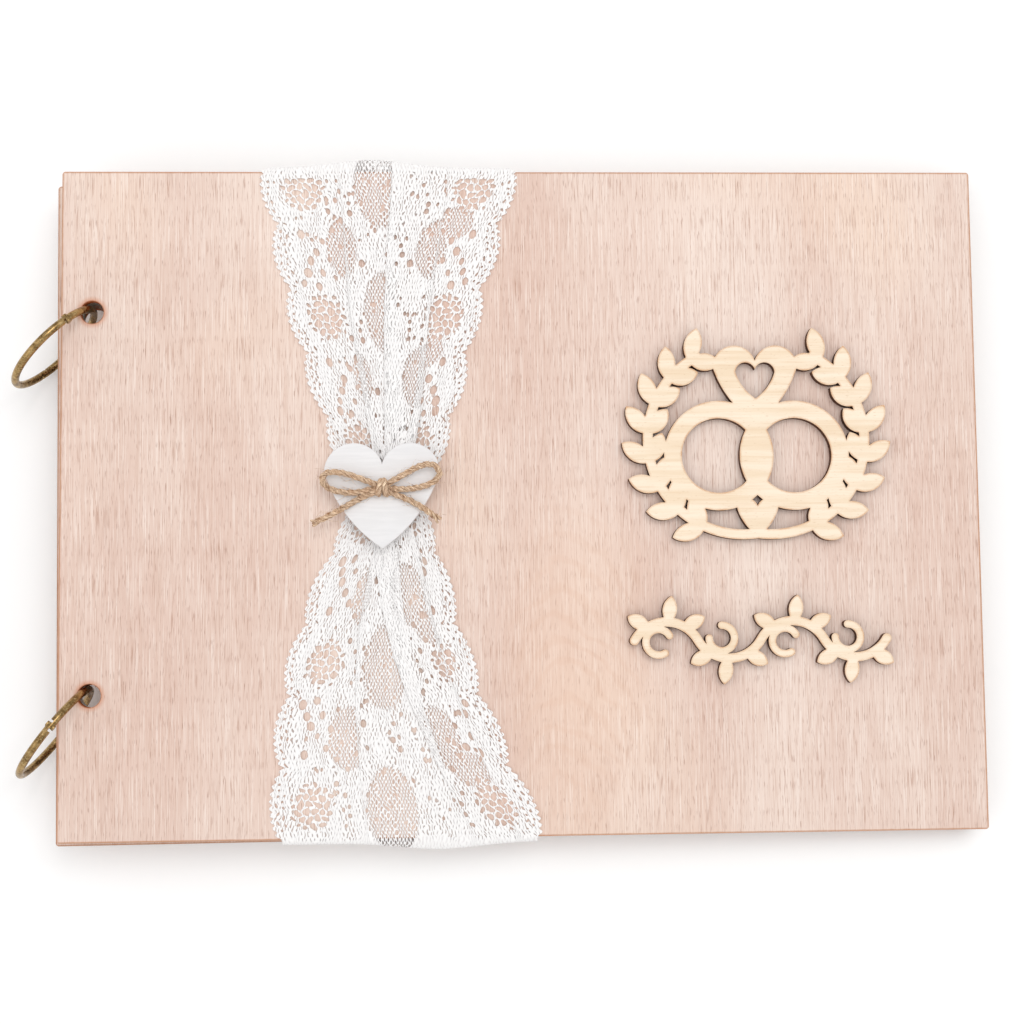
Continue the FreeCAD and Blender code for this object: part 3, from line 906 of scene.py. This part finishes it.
def lace_pattern(u, v, half):
    """Field that is positive in the cloth and negative in its holes and outside its scallops."""
    rng = random.Random(half["seed"])
    pitch, edge = half["pitch"], half["edge"]
    middle = half["cusp"] - pitch / 2.0
    # The outline: scallops with small picots.
    rise = np.abs(np.cos(math.pi * (v - middle) / pitch)) ** 0.6
    at_edge = abs(math.cos(math.pi * (edge - middle) / pitch)) ** 0.6
    rise = np.where(v > edge, np.minimum(rise, at_edge), rise)
    border = RIBBON_HALF + SCALLOP_RISE * rise
    picot = np.abs(np.sin(math.pi * v / PICOT_GAP + 0.4 * np.sin(v / 3.3))) ** 1.4
    picot = np.where(v > edge + 0.5, 0.0, PICOT_RISE) * picot
    inset = border - np.abs(u)
    outline = inset + picot - 0.75

    # Two rows of eyelets follow the border; wu and wv wander as threads do.
    wu = u + 0.45 * np.sin(0.85 * v + 0.6 * u) + 0.25 * np.sin(1.9 * v - 0.7 * u)
    wv = v + 0.45 * np.sin(0.75 * u - 0.5 * v) + 0.25 * np.sin(1.6 * u + 0.9 * v)
    winset = inset + 0.3 * np.sin(1.1 * v)
    field = np.full(u.shape, 9.0)
    along = np.mod(wv, EYELET_GAP) - EYELET_GAP / 2.0
    np.minimum(field, np.hypot(winset - 2.0, along * 0.8) - 0.42, out=field)
    staggered = np.mod(wv + EYELET_GAP / 2.0, EYELET_GAP) - EYELET_GAP / 2.0
    gate = np.where(np.sin(v / 5.1) > -0.2, 0.0, 1.0)
    np.minimum(field, np.hypot(winset - 3.9, staggered * 0.7) - 0.40 + gate, out=field)

    def spray(start, finish, count, first_size, last_size, bow):
        """A bowed row of oval holes."""
        for k in range(count):
            t = k / (count - 1.0)
            size = (first_size + (last_size - first_size) * t) * rng.uniform(0.78, 1.15)
            place = (start[0] + (finish[0] - start[0]) * t + bow * math.sin(math.pi * t)
                     + rng.uniform(-0.35, 0.35),
                     start[1] + (finish[1] - start[1]) * t + rng.uniform(-0.35, 0.35))
            slim = rng.uniform(0.66, 0.88)
            carve_oval(field, u, v, place, (size * slim, size), rng.uniform(-0.3, 0.3))

    for centre, flowered in scallop_rows(half):
        for side in (-1.0, 1.0):
            if flowered:
                share = oval_share(u, v, (side * 31.0, centre + 1.0), (7.5, 8.5), 0.4)
                carve_net(field, wu, wv, share, 2.55, 1.08)
                spray((side * 24.0, centre - 6.0), (side * 21.0, centre + 7.0), 5, 1.05, 0.75,
                      side * -2.6)
                spray((side * 10.0, centre + 5.0), (side * 14.5, centre - 6.5), 5, 0.7, 1.0,
                      side * 2.0)
            else:
                spray((side * 35.5, centre - 8.5), (side * 20.5, centre + 11.5), 7, 1.65, 1.05,
                      side * 2.4)
                spray((side * 31.0, centre - 9.5), (side * 17.5, centre + 7.0), 5, 1.35, 0.85,
                      side * 2.0)
                carve_oval(field, u, v, (side * 34.0, centre + 7.0), (1.15, 1.5))
                carve_oval(field, u, v, (side * 12.0, centre - 2.5), (1.0, 1.3))
        if not flowered:
            spray((5.5, centre - 5.0), (6.0, centre + 5.5), 5, 1.0, 0.8, 3.0)
            spray((0.0, centre - 5.0), (-1.0, centre + 5.5), 5, 0.8, 1.1, -3.0)

    # Small holes, scattered over what is still dense.
    taken = []
    for _ in range(260):
        place = (rng.uniform(-35.0, 35.0), rng.uniform(0.0, edge))
        if any(math.hypot(place[0] - a, place[1] - b) < 5.0 for a, b in taken):
            continue
        column = min(field.shape[1] - 1, max(0, int((place[0] - u[0, 0]) / CLOTH_STEP)))
        row = min(field.shape[0] - 1, max(0, int((place[1] - v[0, 0]) / CLOTH_STEP)))
        if field[row, column] < 1.2:
            continue
        taken.append(place)
        for _ in range(rng.choice((1, 1, 2, 3))):
            size = rng.uniform(0.45, 0.8)
            near = (place[0] + rng.uniform(-1.6, 1.6), place[1] + rng.uniform(-1.6, 1.6))
            carve_oval(field, u, v, near, (size * 0.75, size * 1.2), rng.uniform(-0.5, 0.5))
    # None where the cloth turns round the board.
    wrapped = soft_step(v, edge - 2.2, edge - 1.2)
    field = field + 9.0 * wrapped
    return np.minimum(field, outline)


def cut_cloth(field, u, v):
    """Faces of the cloth where the field is positive, with clean hole outlines."""
    rows, columns = field.shape
    inside = field > 0.0
    number = -np.ones(field.shape, int)
    number[inside] = np.arange(inside.sum())
    flat_u = list(u[inside])
    flat_v = list(v[inside])
    crossings = {}

    def crossing(a, b):
        key = (a, b) if a < b else (b, a)
        if key not in crossings:
            (r0, c0), (r1, c1) = key
            share = field[r0, c0] / (field[r0, c0] - field[r1, c1])
            share = min(0.95, max(0.05, share))
            crossings[key] = len(flat_u)
            flat_u.append(u[r0, c0] + (u[r1, c1] - u[r0, c0]) * share)
            flat_v.append(v[r0, c0] + (v[r1, c1] - v[r0, c0]) * share)
        return crossings[key]

    count = (inside[:-1, :-1].astype(int) + inside[1:, :-1] + inside[:-1, 1:] + inside[1:, 1:])
    faces = []
    for row, column in np.argwhere(count == 4):
        faces.append((number[row, column], number[row, column + 1],
                      number[row + 1, column + 1], number[row + 1, column]))
    for row, column in np.argwhere((count > 0) & (count < 4)):
        ring = ((row, column), (row, column + 1), (row + 1, column + 1), (row + 1, column))
        face = []
        for k in range(4):
            here, after = ring[k], ring[(k + 1) % 4]
            if inside[here]:
                face.append(number[here])
            if inside[here] != inside[after]:
                face.append(crossing(here, after))
        if len(face) >= 3:
            faces.append(tuple(face))
    return np.array(flat_u), np.array(flat_v), faces


def log_cosh(value):
    """The curve that tanh is the slope of."""
    size = np.abs(value)
    return size + np.log1p(np.exp(-2.0 * size)) - math.log(2.0)


def rise_over(value):
    """From 0 to 1 as the value goes from well below 0 to well above it."""
    return 0.5 * (1.0 + np.tanh(value))


def drape(u, v, half):
    """Places of the gathered ribbon on the cover, in the cover's millimetres."""
    edge = half["edge"]
    d = np.clip(v, 0.0, edge)
    share = np.clip((d - half["pinch"]) / (edge - half["pinch"]), 0.0, 1.0)
    width = half["narrow"] + (half["wide"] - half["narrow"]) * share ** half["flare"]
    spare = RIBBON_WIDTH - width
    across = u.copy()
    pleated = 0.0
    height = np.zeros_like(u)
    # A pleat narrows the cloth and lifts it by a layer.
    layer = 0.20 + 0.40 * np.exp(-d / 35.0)
    for start, slant, part, climb in half["pleats"]:
        place = start + slant * d / edge
        overlap = part * spare / 2.0 + 0.6
        low = u - place + overlap / 2.0
        high = u - place - overlap / 2.0
        across = across - (log_cosh(low) - log_cosh(high))
        pleated = pleated + 2.0 * overlap
        near = np.minimum(1.0, overlap / 2.0)
        step = rise_over(low) + rise_over(high)
        if climb > 0:
            rim = place + overlap / 2.0
            settle = 1.0 - soft_step(u, rim, rim + PLEAT_FADE)
            height += layer * near * step * settle
        else:
            rim = place - overlap / 2.0
            settle = soft_step(u, rim - PLEAT_FADE, rim)
            height += layer * near * (2.0 - step) * settle
    across = across * (width / np.maximum(RIBBON_WIDTH - pleated, 1.0))

    # Folds fan out from the tie and are pressed flat towards the edge.
    wander = 1.3 * np.sin(v / 9.0 + 0.6) * np.exp(-d / 60.0)
    ripple = 0.95 * np.exp(-d / 26.0) + 0.10
    fold = np.sin(math.tau * (u + wander) / WIDE_FOLD + 0.5)
    fold += 0.5 * np.sin(math.tau * (u - wander) / FINE_FOLD + 1.7)
    flatten = 1.0 - soft_step(v, edge - 16.0, edge - 2.0)
    height = height * (0.35 + 0.65 * flatten) + ripple * (fold + 1.5) * 0.5 * flatten
    height = height + 0.10 * np.sin(u / 3.7 + v / 5.3) * np.sin(v / 4.1 - u / 7.0) * flatten
    height = 0.40 + 2.9 * np.tanh(height / 2.9)

    drift = half["drift"] * (d / edge) ** 3.0
    lean = 0.9 * np.sin(d / 17.0 + 1.0) * (1.0 - (d / edge) ** 2)
    sag = half["sag"] * np.sin(math.pi * d / edge)
    x = TIE_X + drift + lean + sag + across
    # The turn round the board's edge and the flap behind it.
    bulge = 1.6 + half["bulge"] * np.exp(-(((x - half["bulge_x"]) / 17.0) ** 2))
    arc = math.pi * (bulge + TURN_RADIUS) / 2.0 * 1.04
    past = np.maximum(v - edge, 0.0)
    angle = np.clip(past / arc, 0.0, 1.0) * math.pi
    beyond = bulge * np.sin(angle) - np.maximum(past - arc, 0.0)
    side = half["side"]
    start = TIE_Y + side * edge
    y = np.where(past > 0.0, start + side * beyond, TIE_Y + side * d)
    turned = height - TURN_RADIUS * (1.0 - np.cos(angle))
    mixing = soft_step(angle, 2.2, math.pi)
    z = np.where(past > 0.0, turned * (1.0 - mixing) + BEHIND_BOARD * mixing, height)
    return x, y, z


def make_lace():
    """The ribbon's two halves, each cut flat and then draped from the tie over its edge."""
    cotton = lace_finish("cotton_lace")
    halves = (
        {"name": "lace_head_half", "side": 1.0, "edge": COVER_WIDTH - TIE_Y, "pinch": 0.0,
         "narrow": 23.0, "wide": 79.5, "flare": 0.78, "drift": 1.5, "sag": 0.3,
         "bulge": 2.6, "bulge_x": 97.0, "cusp": 21.5, "pitch": 20.5, "seed": 3,
         "pleats": ((3.0, -2.0, 0.40, 1), (-21.0, 3.0, 0.16, 1), (25.0, -4.0, 0.16, -1))},
        {"name": "lace_tail_half", "side": -1.0, "edge": TIE_Y, "pinch": 7.0,
         "narrow": 19.0, "wide": 83.0, "flare": 0.76, "drift": 7.0, "sag": -2.2,
         "bulge": 2.0, "bulge_x": 118.0, "cusp": 21.5, "pitch": 22.2, "seed": 8,
         "pleats": ((-3.0, 22.0, 0.44, 1), (-20.0, 6.0, 0.14, 1), (28.0, 6.0, 0.12, -1))},
    )
    for half in halves:
        length = half["edge"] + END_FLAP
        reach = RIBBON_HALF + SCALLOP_RISE + 0.7
        us = np.arange(-reach, reach + CLOTH_STEP, CLOTH_STEP)
        vs = np.arange(0.0, length, CLOTH_STEP)
        u, v = np.meshgrid(us, vs)
        field = lace_pattern(u, v, half)
        flat_u, flat_v, faces = cut_cloth(field, u, v)
        x, y, z = drape(flat_u, flat_v, half)
        if half["side"] < 0.0:
            faces = [tuple(reversed(face)) for face in faces]
        places = [on_cover(a, b, c) for a, b, c in zip(x, y, z)]
        obj = piece_from(half["name"], places, faces, cotton)
        corners = np.empty(len(obj.data.loops), int)
        obj.data.loops.foreach_get("vertex_index", corners)
        wrapped = soft_step(flat_v, half["edge"] - 1.0, half["edge"] + 2.0)
        for label, first, second in (
                ("cloth", flat_u / UV_SPAN, flat_v / UV_SPAN),
                ("kind", net_share(flat_u, flat_v, half), wrapped)):
            layer = obj.data.uv_layers.new(name=label)
            spread = np.stack([first[corners], second[corners]], axis=1)
            layer.data.foreach_set("uv", spread.ravel())
        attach(obj, "front_cover")
        if half["side"] > 0.0:
            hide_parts("lace_band")


make_lace()


# ---- floor and light

FLOOR_HALF = 6.0
WORLD_LIGHT = 0.78
LAMPS = (("key", (0.32, 0.40, 1.38), 0.8, 6.3),
         ("fill", (-0.8, -0.3, 1.3), 1.4, 3.2))


def make_studio():
    """White floor, even light all round and two soft lamps; sizes here are in metres."""
    scene = bpy.context.scene
    scene.view_settings.view_transform = "Standard"
    scene.view_settings.look = "None"
    mesh = bpy.data.meshes.new("floor")
    corners = ((-1.0, -1.0), (1.0, -1.0), (1.0, 1.0), (-1.0, 1.0))
    mesh.from_pydata([(x * FLOOR_HALF, y * FLOOR_HALF, 0.0) for x, y in corners],
                     [], [(0, 1, 2, 3)])
    mesh.materials.append(floor_finish("floor"))
    floor = linked("floor", mesh)

    world = bpy.data.worlds.new("studio")
    world.use_nodes = True
    sky = world.node_tree.nodes["Background"].inputs
    sky["Color"].default_value = (1.0, 1.0, 1.0, 1.0)
    sky["Strength"].default_value = WORLD_LIGHT
    scene.world = world

    for name, place, extent, power in LAMPS:
        light = bpy.data.lights.new(name, "AREA")
        light.size = extent
        light.energy = power
        lamp = linked(name, light)
        lamp.location = place
        lamp.rotation_euler = (-Vector(place)).to_track_quat("-Z", "Y").to_euler()


make_studio()
